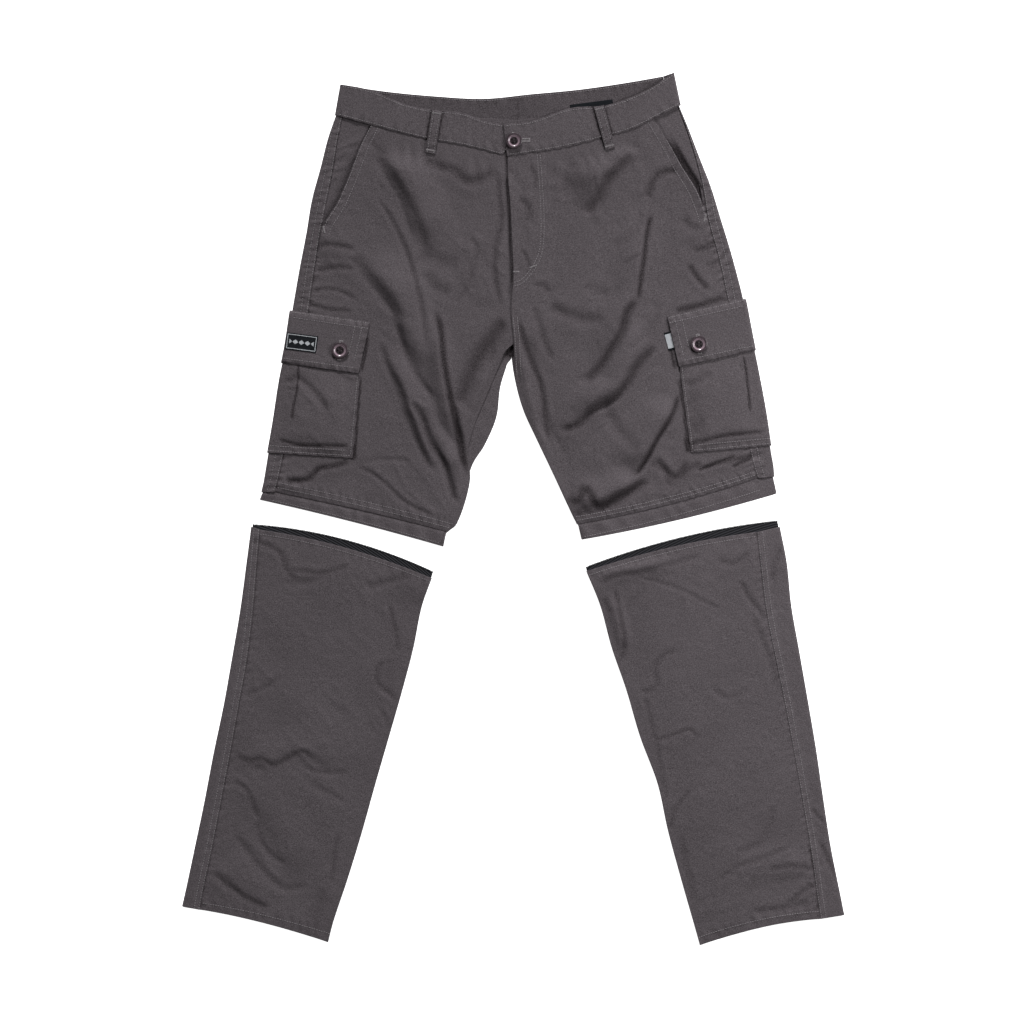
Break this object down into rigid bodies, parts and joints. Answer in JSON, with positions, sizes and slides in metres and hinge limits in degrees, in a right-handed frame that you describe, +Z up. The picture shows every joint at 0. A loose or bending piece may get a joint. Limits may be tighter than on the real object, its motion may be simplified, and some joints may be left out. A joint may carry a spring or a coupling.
{
  "type": "convertible zip-off trousers, laid flat",
  "caption": "Grey zip-off cargo trousers laid flat: shorts with buttoned waist, slash and flapped cargo pockets, and lower legs zipped off below them.",
  "frame": {"origin": "centre of the bounding box in plan, on the floor that the trousers lie on", "axes": "+X to the wearer's left, which is the right of the picture; +Y from the lower legs up to the waistband; +Z up from the floor to the fronts"},
  "size_m": [0.862, 1.136, 0.013],
  "materials": {
    "twill": "washed cotton twill, matt charcoal grey",
    "zip_tape": "woven polyester zip tape, near black",
    "woven_label": "woven satin label, near black",
    "button": "glossy dark brown resin"
  },
  "bodies": {
    "root": {"front_right": "twill", "back_right": "twill", "pocket_facing_right": "twill", "cargo_pocket_right": "twill", "cargo_flap_right": "twill", "hem_band_right": "twill", "belt_loop_front_right": "twill", "front_left": "twill", "back_left": "twill", "pocket_facing_left": "twill", "cargo_pocket_left": "twill", "cargo_flap_left": "twill", "hem_band_left": "twill", "belt_loop_front_left": "twill", "waistband_right": "twill", "waistband_left": "twill", "waistband_back": "twill", "belt_loop_back_right": "twill", "belt_loop_back_centre": "twill", "belt_loop_back_left": "twill", "leg_front_right": "twill", "leg_back_right": "twill", "leg_front_left": "twill", "leg_back_left": "twill", "leg_zip_right": "zip_tape", "leg_zip_left": "zip_tape", "waist_button": "button", "flap_button_right": "button", "flap_button_left": "button", "flap_label_right": "woven_label", "flap_tab_left": "woven_label", "waist_label": "woven_label"}
  },
  "joints": []
}
